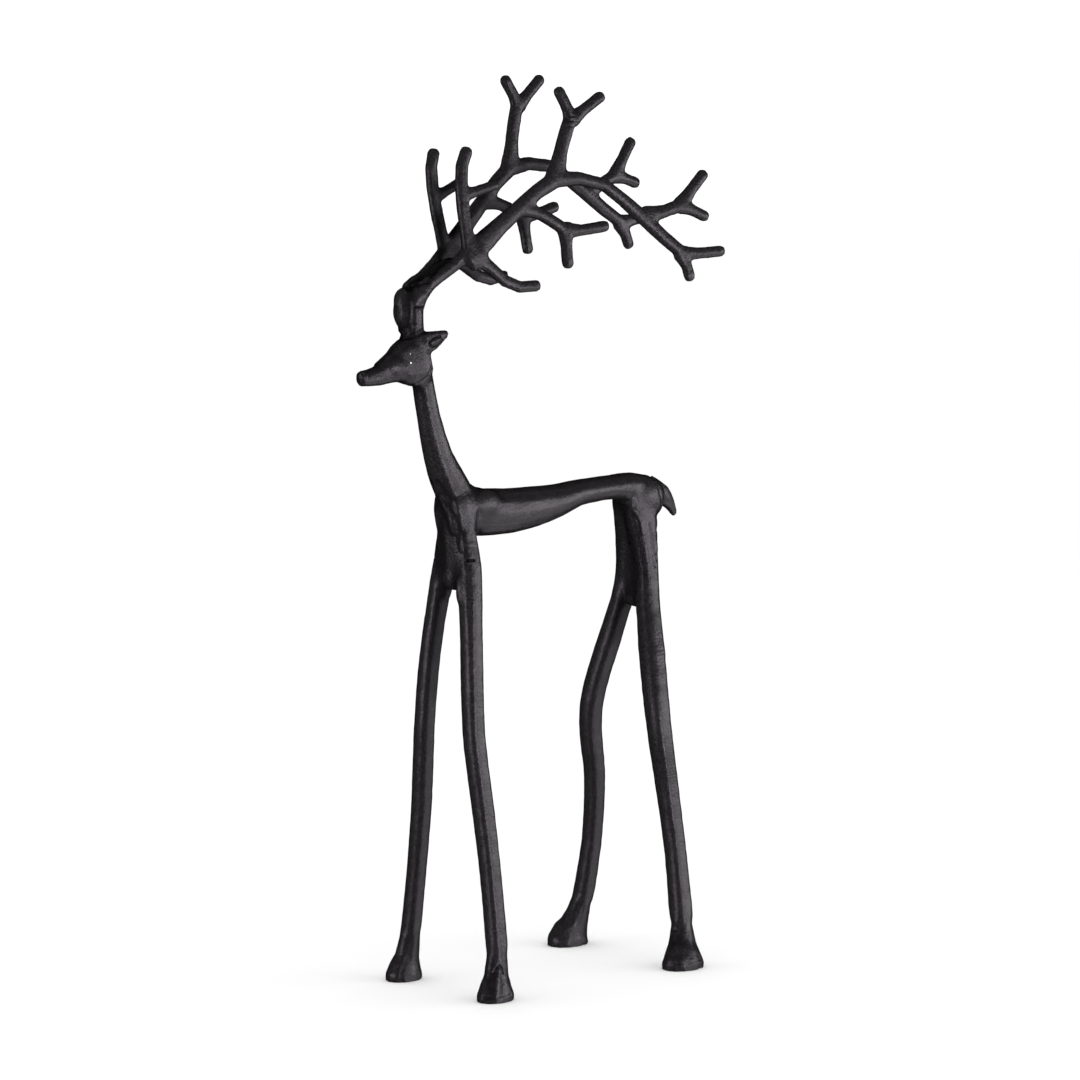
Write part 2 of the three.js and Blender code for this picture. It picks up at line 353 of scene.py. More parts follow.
def shape_leg(spots, mine):
    """Moves the points of one leg, given as a mask, to the section."""
    x, y, z = spots[mine].T
    levels = np.arange(ANKLE_TOP - ANKLE_FADE, LEG_TOP + SLICE, SLICE)
    middles, halves = [], []
    for level in levels:
        near = np.abs(z - level) < SLICE / 2
        low = np.array([x[near].min(), y[near].min()])
        high = np.array([x[near].max(), y[near].max()])
        middles.append((low + high) / 2)
        halves.append((high - low).mean() / 2)
    middles = np.array(middles)
    dx = x - np.interp(z, levels, middles[:, 0])
    dy = y - np.interp(z, levels, middles[:, 1])
    reach = np.hypot(dx, dy)
    wanted = np.interp(z, levels, halves) * LEG_GAIN * leg_section(np.arctan2(dy, dx))
    share = ramp(z, ANKLE_TOP - ANKLE_FADE, ANKLE_TOP) * ramp(z, LEG_TOP, LEG_TOP - LEG_FADE)
    scale = 1 + share * (wanted / np.maximum(reach, THINNEST) - 1)
    spots[mine, 0] += dx * (scale - 1)
    spots[mine, 1] += dy * (scale - 1)
    return halves


spots = spots_of(skin.data)
for front in (True, False):
    for left in (True, False):
        halves = shape_leg(spots, one_leg(spots, front, left, LEG_TOP + SLICE))
        print("front" if front else "rear", "left" if left else "right",
              "leg, half width in mm", round(min(halves) / MM, 1), "to", round(max(halves) / MM, 1))
put_spots(skin.data, spots)

# %% [markdown]
# ## Hooves: an oval foot
# The CAD hooves have twelve sides, and the ground cuts them into a wavy outline. Each level of
# a hoof is measured as a radius over 36 directions. Such a curve is a sum of waves. Keeping
# only its mean and its three slowest waves turns the twelve corners into one oval.

# %% Round the hooves
HOOF_TOP, HOOF_FADE = 30 * MM, 8 * MM
HOOF_LEVELS = np.linspace(0, 30, 13) * MM
HALF_SLAB, HALF_LANE = 1.6 * MM, 1.2 * MM
DIRECTIONS = 36
SLOW_WAVES = 3


def round_hoof(spots, mine):
    """Turns the outline of a hoof, given as a mask of points, into an oval at every level."""
    x, y, z = spots[mine].T
    turns = np.arange(DIRECTIONS) * 2 * math.pi / DIRECTIONS
    middles, ratios = [], []
    for level in HOOF_LEVELS:
        near = np.abs(z - level) < HALF_SLAB
        middle = np.array([x[near].min() + x[near].max(), y[near].min() + y[near].max()]) / 2
        dx, dy = x[near] - middle[0], y[near] - middle[1]
        along = np.outer(dx, np.cos(turns)) + np.outer(dy, np.sin(turns))
        aside = np.abs(np.outer(dy, np.cos(turns)) - np.outer(dx, np.sin(turns)))
        reach = np.where((along > 0) & (aside < HALF_LANE), along, 0).max(axis=0)
        waves = np.fft.rfft(reach)
        waves[SLOW_WAVES + 1:] = 0
        middles.append(middle)
        ratios.append(np.fft.irfft(waves, DIRECTIONS) / np.maximum(reach, MM))
    middles, ratios = np.array(middles), np.array(ratios)
    dx = x - np.interp(z, HOOF_LEVELS, middles[:, 0])
    dy = y - np.interp(z, HOOF_LEVELS, middles[:, 1])
    step = (np.arctan2(dy, dx) / (2 * math.pi) % 1) * DIRECTIONS
    first = step.astype(int) % DIRECTIONS
    part = step - step.astype(int)
    row = np.clip(np.searchsorted(HOOF_LEVELS, z) - 1, 0, len(HOOF_LEVELS) - 2)
    rise = np.clip((z - HOOF_LEVELS[row]) / (HOOF_LEVELS[1] - HOOF_LEVELS[0]), 0, 1)
    ratio = 0
    for level, weight in ((row, 1 - rise), (row + 1, rise)):
        here = ratios[level, first] * (1 - part) + ratios[level, (first + 1) % DIRECTIONS] * part
        ratio = ratio + weight * here
    share = ramp(z, HOOF_TOP, HOOF_TOP - HOOF_FADE) * (ratio - 1)
    spots[mine, 0] += dx * share
    spots[mine, 1] += dy * share
    return np.abs(share).max()


spots = spots_of(skin.data)
for front in (True, False):
    for left in (True, False):
        change = round_hoof(spots, one_leg(spots, front, left, HOOF_TOP))
        print("hoof rounded by up to", round(change * 100, 1), "% of its radius")
put_spots(skin.data, spots)

# %% [markdown]
# ## A finer net where the eye goes
# Head, shoulder, thigh and hooves carry marks narrower than the net's quads. The faces near
# them are divided, and the smallest marks get a second division. The rest stays as it is,
# because one piece may have 200,000 triangles at most. A later step thins what is too many.

# %% Divide the net near the marks
FINE_ZONES = [  # pixel, radius in mm
    ((400, 355), 31), ((410, 298), 22), ((458, 522), 27), ((632, 535), 26),
    ((495, 985), 14), ((683, 955), 15), ((570, 118), 8),
]
FINEST_ZONES = [((362, 378), 7), ((437, 341), 7), ((470, 560), 5), ((419, 307), 4), ((498, 969), 5)]


def skin_tree():
    """A search tree over the skin as it is now."""
    graph = bpy.context.evaluated_depsgraph_get()
    return BVHTree.FromObject(skin, graph)


def seen(tree, px, py):
    """Where the camera's ray through a pixel meets the skin, and the skin's direction there."""
    place, normal, _, _ = tree.ray_cast(CAMERA_PLACE, sight(px, py))
    return place, normal


def divide_near(zones):
    """Cuts the faces near each zone's pixel into four."""
    tree = skin_tree()
    bm = bmesh.new()
    bm.from_mesh(skin.data)
    centres = [(seen(tree, *pixel)[0], radius * MM) for pixel, radius in zones]
    chosen = set()
    for face in bm.faces:
        middle = face.calc_center_median()
        if any((middle - centre).length < radius for centre, radius in centres):
            chosen.update(face.edges)
    bmesh.ops.subdivide_edges(bm, edges=list(chosen), cuts=1, use_grid_fill=True)
    bmesh.ops.triangulate(bm, faces=[face for face in bm.faces if len(face.verts) > 4])
    bm.to_mesh(skin.data)
    bm.free()
    skin.data.update()


divide_near(FINE_ZONES)
divide_near(FINEST_ZONES)
smooth_in_and_out(skin.data, rounds=3)
print("after dividing:", sum(len(face.vertices) - 2 for face in skin.data.polygons), "triangles")

# %% [markdown]
# ## Marks, one by one
# The marks that somebody who knows this stag would miss are drawn with one tool, a stroke: a
# path of photograph pixels is cast onto the skin, and points near it move along their normal by
# a height that fades out at the stroke's radius. A plus height is a ridge, a minus one a groove.
# A sharp stroke has a V section, a soft one a bell. Marks that belong on both sides of the stag
# are repeated on the other side, at the nearest skin to the mirrored path.

# %% The stroke tool
PATH_STEP = 1.0
SHARP_POWER = 1.3
LEAST_FACING = 0.1
OVAL_STEPS = 14
SOFT, SHARP = False, True


def cast_path(tree, pixels, mirror):
    """Points on the skin, and its directions there, along a path of pixels."""
    places, directions = [], []
    for (x0, y0), (x1, y1) in zip(pixels, pixels[1:]):
        steps = max(1, round(math.hypot(x1 - x0, y1 - y0) / PATH_STEP))
        for k in range(steps + 1):
            place, normal = seen(tree, x0 + (x1 - x0) * k / steps, y0 + (y1 - y0) * k / steps)
            if place is None:
                continue
            if mirror:
                place, normal, _, _ = tree.find_nearest(Vector((place.x, -place.y, place.z)))
            places.append(place)
            directions.append(normal)
    return np.array(places), np.array(directions)


def carve(strokes, mirror=False):
    """Draws strokes of (pixels, radius in mm, height in mm, sharp) into the skin."""
    tree = skin_tree()
    spots, normals = spots_of(skin.data), normals_of(skin.data)
    moved = spots.copy()
    for pixels, radius, height, sharp in strokes:
        places, directions = cast_path(tree, pixels, mirror)
        if not len(places):
            print("a stroke missed the skin:", pixels)
            continue
        reach = radius * MM
        inside = ((spots > places.min(0) - reach) & (spots < places.max(0) + reach)).all(axis=1)
        near = np.flatnonzero(inside)
        gaps = np.linalg.norm(spots[near][:, None] - places[None], axis=2)
        nearest = gaps.argmin(axis=1)
        distance = np.clip(gaps[np.arange(len(near)), nearest] / reach, 0, 1)
        facing = np.einsum("ij,ij->i", normals[near], directions[nearest]) > LEAST_FACING
        fade = (1 - distance) ** SHARP_POWER if sharp else (1 - distance ** 2) ** 2
        moved[near] += (height * MM * fade * facing)[:, None] * normals[near]
    put_spots(skin.data, moved)


def oval(centre, half_sizes, tilt, start, end):
    """Pixels along an ellipse, from one angle to another, in degrees, clockwise in the picture."""
    t = math.radians(tilt)
    points = []
    for k in range(OVAL_STEPS + 1):
        a = math.radians(start + (end - start) * k / OVAL_STEPS)
        x, y = half_sizes[0] * math.cos(a), half_sizes[1] * math.sin(a)
        across = x * math.cos(t) - y * math.sin(t)
        down = x * math.sin(t) + y * math.cos(t)
        points.append((centre[0] + across, centre[1] + down))
    return points


print("a stroke is cast onto the skin every", PATH_STEP, "pixel")

# %% [markdown]
# ## The head
# A soft swelling comes first, the thick root of the ear. Then come the nostril's step behind
# the blunt nose, the dark line behind that, the fold under the jaw and the dish in the ear. Last
# is the edge of the far brow, where the light catches a strip beyond the dark forehead.

# %% Carve the head
EAR_CENTRE, EAR_HALF, EAR_TILT = (435.5, 341.5), (6.8, 4.4), -32
ear_root = ([(427, 336), (431, 346)], 4, 0.4, SOFT)
far_brow = ([(375, 364.5), (386, 354.5), (398, 341)], 2.4, 0.5, SOFT)
head_marks = [
    ([(361.5, 371.5), (364, 378)], 1.6, 0.4, SOFT),
    ([(366.5, 371), (368.5, 375), (368.5, 381)], 0.9, -0.3, SHARP),
    ([(411, 385.5), (421, 382), (428.5, 376), (432, 367)], 1.4, -0.6, SOFT),
]
ear_marks = [
    (oval(EAR_CENTRE, EAR_HALF, EAR_TILT, 20, 340), 1.0, -0.5, SOFT),
    (oval(EAR_CENTRE, EAR_HALF, EAR_TILT, 70, 220), 1.0, -0.3, SOFT),
    ([(434, 342.5), (439, 339.5)], 1.8, 0.3, SOFT),
]
for mirror in (False, True):
    carve([ear_root], mirror)
    carve(head_marks, mirror)
    carve(ear_marks, mirror)
carve([far_brow])
print("the head has its marks")

# %% [markdown]
# ## The stems
# The two antler stems stand fused on the crown, then fold back over a knuckle. A deep crease
# crosses the knuckle and runs on between the stems. A saw-like notch cuts them behind, a small
# wrinkle lies above the brow, and a last crease parts them from the crown. The notch and the
# last crease are on both sides.

# %% Carve the stems
stem_swellings = [
    ([(404, 294), (404, 306), (405.5, 322)], 4.6, 0.4, SOFT),
    ([(418, 316), (417, 327)], 4.5, 0.5, SOFT),
    ([(424, 297), (428, 291)], 4.5, 0.7, SOFT),
]
notch = ([(414.5, 307.2), (423.5, 307.2)], 0.85, -1.5, SHARP)
crown_crease = ([(401, 339), (409, 337.5), (417, 334.5), (425, 330.5)], 2.2, -0.9, SOFT)
stem_marks = [
    ([(398, 288.5), (405, 286.5), (413, 286), (421, 284), (427, 281)], 2.6, -1.0, SOFT),
    ([(427, 281), (432, 275), (437, 269), (443, 262), (449, 258)], 3.0, -0.9, SOFT),
    ([(410, 304), (409.5, 316), (408, 328)], 2.0, -0.35, SOFT),
    notch,
    ([(422.5, 309), (424, 313)], 2.0, -0.5, SOFT),
    ([(407, 328), (411, 325), (417, 323.5)], 1.0, -0.3, SHARP),
    crown_crease,
]
carve(stem_swellings)
carve(stem_marks)
carve([notch, crown_crease], mirror=True)
print("the stems have their marks")

# %% [markdown]
# ## Breast, shoulder and leg tops
# From the neck a knobbly ridge runs down the breast. Beside it a groove parts the breast from
# the shoulder. The near leg comes out of the shoulder like an arm out of a sleeve, with a short
# dark slot under the cuff. The far leg starts under a rim.

# %% Carve the breast and shoulder
breast_groove = ([(438, 482), (443.5, 490), (451, 503), (456, 516), (459, 534), (461, 550)], 2.2, -0.45, SOFT)
breast_marks = [
    breast_groove,
    ([(443, 500), (446.5, 510), (451, 521), (454, 530)], 4.0, 0.85, SOFT),
    ([(444.5, 505), (446, 508)], 1.6, 0.35, SOFT),
    ([(449.5, 511), (451, 515)], 1.5, 0.35, SOFT),
]
shoulder_marks = [
    ([(479, 512), (478, 524), (479, 536)], 2.4, -0.6, SOFT),
    ([(465, 540.5), (479, 541)], 0.9, -0.15, SHARP),
    ([(466, 547), (479, 547.5)], 0.8, -0.12, SHARP),
    ([(466.3, 560.6), (474, 560.2)], 0.95, -1.7, SHARP),
    ([(470, 566), (469.5, 585), (469.5, 620)], 2.0, -0.25, SOFT),
]
far_rim = ([(433, 584), (438, 577), (446, 577)], 6.0, 0.35, SOFT)
carve(breast_marks)
carve([breast_groove], mirror=True)
for mirror in (False, True):
    carve(shoulder_marks, mirror)
carve([far_rim])
print("breast and shoulder have their marks")

# %% [markdown]
# ## Belly, thigh and tail
# The flank turns down into the thigh round a crisp arch. Inside the arch the metal lies in shade,
# and the coat paints it darker still, as painted shade, and rougher. The tail is a thick leaf,
# parted from the rump by a crease.

# %% Carve the thigh and tail
thigh_marks = [
    ([(606, 500), (617, 501), (628, 505), (636, 512), (641, 522), (643, 534)], 1.8, 0.4, SOFT),
    ([(650, 524), (652.5, 541), (653, 553), (655, 566)], 1.6, -0.35, SOFT),
    ([(657, 527), (657.5, 533)], 2.4, -0.5, SOFT),
    ([(657, 544), (657, 550)], 2.4, 0.4, SOFT),
    ([(656, 556), (657, 560)], 2.0, -0.4, SOFT),
    ([(573, 512), (579, 508), (586, 503.5)], 1.6, -0.4, SOFT),
]
tail_marks = [
    ([(654.5, 479), (659.5, 489), (662, 503)], 1.8, -0.4, SOFT),
    ([(666, 492), (671, 503)], 1.8, 0.25, SOFT),
]
for mirror in (False, True):
    carve(thigh_marks, mirror)
    carve(tail_marks, mirror)
print("thigh and tail have their marks")

# %% [markdown]
# ## Hooves and antlers
# The hooves were knocked about most. The two near ones get a fine rim above the sole. The front
# one has a knob under a little arch, and the rear one lost a chip. The antlers were cast flat in
# the sand, and where a fork filled last the metal wrinkled.

# %% Carve the hooves and antlers
hoof_marks = [
    ([(498.5, 970.5), (499, 973)], 2.0, 0.5, SOFT),
    ([(493.5, 972.5), (496, 967.5), (499, 965.5), (502, 969), (503, 973)], 1.0, -0.7, SHARP),
    ([(497, 978), (496.5, 999)], 1.8, 0.5, SOFT),
    ([(489, 980), (487, 1000)], 3.0, -0.4, SOFT),
    ([(478, 996), (487, 999), (499, 999.5), (511, 994.5)], 0.9, -0.3, SHARP),
    ([(649, 930.5), (657, 933), (668, 931.5), (676, 930)], 1.1, -0.5, SOFT),
    ([(662, 962), (676, 964.5), (690, 963), (702, 958.5)], 1.0, -0.35, SHARP),
    ([(699.5, 967.5), (701, 968.5)], 1.6, -1.1, SHARP),
    ([(552, 936), (560, 926), (566, 914)], 1.6, -0.35, SOFT),
    ([(404, 955), (400, 966), (396, 979)], 2.0, 0.4, SOFT),
]
antler_marks = [
    ([(564, 119.5), (568, 121), (573, 120.5), (578, 123.5)], 0.9, -0.4, SHARP),
    ([(566, 112.5), (569, 116), (575, 116)], 0.8, -0.3, SHARP),
    ([(568, 125.5), (574, 127)], 0.8, -0.25, SHARP),
    ([(462, 200), (462.5, 226), (466, 247), (471, 262)], 1.3, 0.35, SOFT),
]
carve(hoof_marks)
carve(antler_marks)
print("hooves and antlers have their marks")

# %% [markdown]
# ## Not more triangles than needed
# The legs' long plain sides don't need the net's small quads. The Decimate modifier joins faces
# where that changes the shape least, until the skin is under the limit for one piece.

# %% Thin out the net
MOST_TRIANGLES = 190_000

triangles = sum(len(face.vertices) - 2 for face in skin.data.polygons)
if triangles > MOST_TRIANGLES:
    thin = skin.modifiers.new("thin", "DECIMATE")
    thin.ratio = MOST_TRIANGLES / triangles
    apply_modifiers(skin)
print(triangles, "triangles before,", len(skin.data.polygons), "faces after")

# %% [markdown]
# ## Sand
# Sand leaves its own relief: slow dents a few millimetres wide where it was rammed unevenly,
# pebbles of about two, and grains of about one. Dents and pebbles are real geometry: noise of
# two sizes moves each point along its normal. The grains are finer than the net, so they go
# into the material's bump.

# %% Cast relief
DENT_SIZE, DENT_DEPTH = 5.5 * MM, 0.10 * MM
PEBBLE_SIZE, PEBBLE_DEPTH = 2.2 * MM, 0.05 * MM
PEBBLE_SHIFT = Vector((7, 3, 5))

spots, normals = spots_of(skin.data), normals_of(skin.data)
relief = np.empty(len(spots))
for i, spot in enumerate(spots):
    dent = noise.noise(Vector(spot) / DENT_SIZE)
    pebble = noise.noise(Vector(spot) / PEBBLE_SIZE + PEBBLE_SHIFT)
    relief[i] = DENT_DEPTH * dent + PEBBLE_DEPTH * pebble
relief *= ramp(spots[:, 2], 0, SOLE_BAND)
put_spots(skin.data, spots + relief[:, None] * normals)
print("the relief runs from", round(relief.min() / MM, 3), "to", round(relief.max() / MM, 3), "mm")

# %% [markdown]
# ## Ridges and corners, kept as numbers
# Handling polishes ridges. Deep corners and creases get painted shade: where the casting shades
# itself, their colour is painted darker, and their gloss is made rougher. Two numbers per point
# say where that is, and a material can read them as attributes. `standing` is how far a point
# stands before or behind the average of its neighbourhood. `shut_in` is the share of rays from
# the point that soon hit the casting again.

# %% Measure ridges and corners
CURVATURE_ROUNDS = 14
CURVATURE_SCALE = 0.35 * MM
RAYS = 18
RAY_START, RAY_REACH = 0.3 * MM, 45 * MM
RAY_FACING = 0.3
SHUT_IN_ROUNDS = 10


def put_attribute(mesh, name, values):
    """Keeps one number per point in the mesh, under a name that a material can read."""
    attribute = mesh.attributes.new(name, "FLOAT", "POINT")
    attribute.data.foreach_set("value", values.astype(np.float32))
    print(name, "runs from", round(values.min(), 2), "to", round(values.max(), 2))


def ray_directions(count):
    """Directions spread evenly over a ball, along a spiral."""
    turn = math.pi * (3 - math.sqrt(5))
    heights = [1 - (2 * k + 1) / count for k in range(count)]
    rings = [math.sqrt(1 - h * h) for h in heights]
    return [Vector((r * math.cos(k * turn), r * math.sin(k * turn), h))
            for k, (r, h) in enumerate(zip(rings, heights))]


mean = neighbour_mean(skin.data)
spots, normals = spots_of(skin.data), normals_of(skin.data)
blurred = evened(spots, mean, CURVATURE_ROUNDS)
standing = np.einsum("ij,ij->i", spots - blurred, normals) / CURVATURE_SCALE
put_attribute(skin.data, "standing", np.clip(mean(standing), -1, 1) / 2 + 0.5)

tree = skin_tree()
directions = ray_directions(RAYS)
outward = normals @ np.array(directions).T > RAY_FACING
shut_in = np.zeros(len(spots))
for i, (spot, normal) in enumerate(zip(spots, normals)):
    start = Vector(spot) + Vector(normal) * RAY_START
    aims = np.flatnonzero(outward[i])
    hits = [tree.ray_cast(start, directions[k], RAY_REACH)[0] is not None for k in aims]
    shut_in[i] = sum(hits) / max(1, len(hits))
put_attribute(skin.data, "shut_in", evened(shut_in, mean, SHUT_IN_ROUNDS))

# %% [markdown]
# ## What a satin black coat on a sand casting looks like
# The coat is thin, so it follows the metal's grain, the file's scratches and the wear. Each of
# these effects is a node group of its own, which puts out plain numbers, and the material at
# the end joins them. A few small tools keep the building of groups short.

# %% Node group tools


def new_group(name, inputs, outputs):
    """An empty node group. Inputs are (name, default), outputs are names; all are numbers."""
    group = bpy.data.node_groups.new(name, "ShaderNodeTree")
    for label, default in inputs:
        socket = group.interface.new_socket(label, in_out="INPUT", socket_type="NodeSocketFloat")
        socket.default_value = default
    for label in outputs:
        group.interface.new_socket(label, in_out="OUTPUT", socket_type="NodeSocketFloat")
    return group, group.nodes.new("NodeGroupInput"), group.nodes.new("NodeGroupOutput")


def object_place(tree):
    """The socket with a point's own place in metres."""
    return tree.nodes.new("ShaderNodeTexCoord").outputs["Object"]


def sized_noise(tree, place, size, detail=2.0):
    """Noise with grains of a size in mm, from 0 to 1."""
    node = tree.nodes.new("ShaderNodeTexNoise")
    node.inputs["Scale"].default_value = 1 / (size * MM)
    node.inputs["Detail"].default_value = detail
    tree.links.new(place, node.inputs["Vector"])
    return node.outputs[0]


def calculate(tree, operation, *values):
    """A Math node; each value is a number or a socket."""
    node = tree.nodes.new("ShaderNodeMath")
    node.operation = operation
    for socket, value in zip(node.inputs, values):
        if isinstance(value, (int, float)):
            socket.default_value = value
        else:
            tree.links.new(value, socket)
    return node.outputs[0]


def map_range(tree, value, low, high, to_low=0.0, to_high=1.0):
    """A Map Range node: to_low at low, to_high at high, smooth between."""
    node = tree.nodes.new("ShaderNodeMapRange")
    node.interpolation_type = "SMOOTHSTEP"
    tree.links.new(value, node.inputs["Value"])
    limits = {"From Min": low, "From Max": high, "To Min": to_low, "To Max": to_high}
    for name, limit in limits.items():
        node.inputs[name].default_value = limit
    return node.outputs["Result"]


print("tools for groups, noise, sums and ranges are ready")

# %% [markdown]
# ## Cast grain
# Under the coat lies what the sand left: grains of a millimetre, finer ones between them, and a
# few pits. In some patches the sand was finer. Noise of two sizes makes the grains, and the
# pits sit in the middles of scattered cells. The coarse grain also mottles the gloss.

# %% Cast grain
GRAIN_SIZE, FINE_GRAIN_SIZE = 1.25, 0.6
PATCH_SIZE, CALMEST = 9.0, 0.55
PIT_SPACING = 4.0
PIT_FLOOR, PIT_EDGE = 0.04, 0.16
NOISE_LOW, NOISE_HIGH = 0.35, 0.65

grain, grain_in, grain_out = new_group(
    "cast_grain", [("Grain", 1.0), ("Fine Grain", 0.4), ("Pits", 0.5)], ["Height", "Mottle"])
place = object_place(grain)
coarse = sized_noise(grain, place, GRAIN_SIZE)
fine = sized_noise(grain, place, FINE_GRAIN_SIZE)
patch_noise = sized_noise(grain, place, PATCH_SIZE)
patches = map_range(grain, patch_noise, NOISE_LOW, NOISE_HIGH, CALMEST, 1.0)
pit_cells = grain.nodes.new("ShaderNodeTexVoronoi")
pit_cells.inputs["Scale"].default_value = 1 / (PIT_SPACING * MM)
grain.links.new(place, pit_cells.inputs["Vector"])
pits = map_range(grain, pit_cells.outputs["Distance"], PIT_FLOOR, PIT_EDGE, -1.0, 0.0)
rough_part = calculate(grain, "MULTIPLY", coarse, grain_in.outputs["Grain"])
fine_part = calculate(grain, "MULTIPLY", fine, grain_in.outputs["Fine Grain"])
grains = calculate(grain, "MULTIPLY", calculate(grain, "ADD", rough_part, fine_part), patches)
pit_part = calculate(grain, "MULTIPLY", pits, grain_in.outputs["Pits"])
grain.links.new(calculate(grain, "ADD", grains, pit_part), grain_out.inputs["Height"])
grain.links.new(map_range(grain, coarse, NOISE_LOW, NOISE_HIGH), grain_out.inputs["Mottle"])
print("grains of", GRAIN_SIZE, "and", FINE_GRAIN_SIZE, "mm, pits every", PIT_SPACING, "mm or so")

# %% [markdown]
# ## File marks
# The file went across the legs, so it left fine level scratches on their flat sides. Noise that
# is drawn out sideways makes them. They lie only where the skin faces sideways, only on the
# legs, and only in patches.

# %% File marks
SCRATCH_SPACING, SCRATCH_PATCH = 1.1, 14.0
DRAWN_OUT = (0.12, 0.12, 1)
SIDEWAYS_START, SIDEWAYS_FULL = 0.8, 0.97
PATCHY_START, PATCHY_FULL = 0.42, 0.6
FILED_TOP, FILED_FADE = 200.0, 40.0

filed, filed_in, filed_out = new_group("file_marks", [("Depth", 1.0)], ["Height"])
place = object_place(filed)
stretch = filed.nodes.new("ShaderNodeMapping")
stretch.inputs["Scale"].default_value = DRAWN_OUT
filed.links.new(place, stretch.inputs["Vector"])
scratches = sized_noise(filed, stretch.outputs["Vector"], SCRATCH_SPACING, detail=1.0)
direction = filed.nodes.new("ShaderNodeSeparateXYZ")
filed.links.new(filed.nodes.new("ShaderNodeTexCoord").outputs["Normal"], direction.inputs[0])
height = filed.nodes.new("ShaderNodeSeparateXYZ")
filed.links.new(place, height.inputs[0])
facing = calculate(filed, "ABSOLUTE", direction.outputs["Y"])
sideways = map_range(filed, facing, SIDEWAYS_START, SIDEWAYS_FULL)
low_down = map_range(filed, height.outputs["Z"], FILED_TOP * MM, (FILED_TOP - FILED_FADE) * MM)
patch_noise = sized_noise(filed, place, SCRATCH_PATCH)
patchy = map_range(filed, patch_noise, PATCHY_START, PATCHY_FULL)
mask = calculate(filed, "MULTIPLY", calculate(filed, "MULTIPLY", sideways, low_down), patchy)
masked = calculate(filed, "MULTIPLY", scratches, mask)
deep = calculate(filed, "MULTIPLY", masked, filed_in.outputs["Depth"])
filed.links.new(deep, filed_out.inputs["Height"])
print("file marks below", FILED_TOP, "mm")

# %% [markdown]
# ## Wear and painted corner shade
# Hands polish what stands out. Hollows and shut-in corners get painted shade: a mask there
# darkens the colour and roughens the gloss. The two numbers that every point keeps are turned
# into two masks. The mottle breaks up the worn one, because wear takes the tops of the grains
# first.

# %% Wear and painted corner shade
RIDGE_START, RIDGE_FULL = 0.56, 0.95
HOLLOW_START, HOLLOW_FULL = 0.44, 0.1
CORNER_START, CORNER_FULL = 0.06, 0.32
MOTTLED_SHARE = 0.7

wear, wear_in, wear_out = new_group(
    "wear_and_corner_shade", [("Standing", 0.5), ("Shut In", 0.0), ("Mottle", 0.5)], ["Worn", "Shade And Dull"])
standing_out = wear_in.outputs["Standing"]
ridge = map_range(wear, standing_out, RIDGE_START, RIDGE_FULL)
mottled = calculate(wear, "MULTIPLY_ADD", wear_in.outputs["Mottle"], MOTTLED_SHARE, 1 - MOTTLED_SHARE)
wear.links.new(calculate(wear, "MULTIPLY", ridge, mottled), wear_out.inputs["Worn"])
# Painted shade: hollows and shut-in corners make the second mask, which darkens the colour.
hollow = map_range(wear, standing_out, HOLLOW_START, HOLLOW_FULL)
corner = map_range(wear, wear_in.outputs["Shut In"], CORNER_START, CORNER_FULL)
wear.links.new(calculate(wear, "MAXIMUM", hollow, corner), wear_out.inputs["Shade And Dull"])
# The second mask paints shade into corners and creases and roughens the gloss there.
print("ridges are worn, corners are dull")

# %% [markdown]
# ## White specks
# Two small specks on the near cheek are coloured near white. Each is a ball round a point on the
# skin, and everything inside the ball takes the near-white colour.

# %% White specks
SPECKS = [((411, 363), 0.42), ((410.5, 354), 0.2)]  # pixel, radius in mm

specks, specks_in, specks_out = new_group("white_specks", [("Size", 1.0)], ["Bare"])
place = object_place(specks)
whitened = 0.0
for pixel, radius in SPECKS:
    spot = seen(tree, *pixel)[0]
    gap = specks.nodes.new("ShaderNodeVectorMath")
    gap.operation = "DISTANCE"
    specks.links.new(place, gap.inputs[0])
    gap.inputs[1].default_value = spot
    reach = calculate(specks, "MULTIPLY", specks_in.outputs["Size"], radius * MM)
    share = calculate(specks, "LESS_THAN", gap.outputs["Value"], reach)
    whitened = calculate(specks, "MAXIMUM", whitened, share)
    print("a bare speck at", [round(v / MM, 1) for v in spot])
specks.links.new(whitened, specks_out.inputs["Bare"])

# %% [markdown]
# ## The black coat
# Black paint isn't black: it sends back about one percent of the light, here with a breath of
# magenta, which its gloss has too. Worn ridges are a little greyer and smoother. Corners and
# creases get painted shade, a darker colour, and a rougher gloss.

# %% The coat and its effects
COAT_COLOR = (0.0068, 0.0060, 0.0067)
WORN_COLOR = (0.017, 0.0157, 0.0166)
# Painted shade: the colour of shut-in corners and creases.
CORNER_SHADE_COLOR = (0.0032, 0.003, 0.0031)
SPECK_WHITE = (0.9, 0.89, 0.88)
GLOSS_TINT = (0.97, 0.89, 1.0, 1.0)

coat = bpy.data.materials.new("black_coat")
coat.use_nodes = True
nodes = coat.node_tree
shader = nodes.nodes["Principled BSDF"]
shader.inputs["Specular Tint"].default_value = GLOSS_TINT


def group_node(group, **settings):
    """Places a group in the coat. An underscore in a setting's name stands for a space."""
    node = nodes.nodes.new("ShaderNodeGroup")
    node.node_tree = group
    for label, value in settings.items():
        node.inputs[label.replace("_", " ")].default_value = value
    return node


def read_attribute(name):
    """The socket with a number that every point keeps."""
    node = nodes.nodes.new("ShaderNodeAttribute")
    node.attribute_name = name
    return node.outputs["Fac"]


grain_node = group_node(grain, Grain=1.0, Fine_Grain=0.45, Pits=0.35)
filed_node = group_node(filed, Depth=0.5)
wear_node = group_node(wear)
speck_node = group_node(specks)
nodes.links.new(read_attribute("standing"), wear_node.inputs["Standing"])
nodes.links.new(read_attribute("shut_in"), wear_node.inputs["Shut In"])
nodes.links.new(grain_node.outputs["Mottle"], wear_node.inputs["Mottle"])
worn, shade_and_dull = wear_node.outputs["Worn"], wear_node.outputs["Shade And Dull"]
print("the coat has", len([node for node in nodes.nodes if node.type == "GROUP"]), "effects")

# %% Its colour


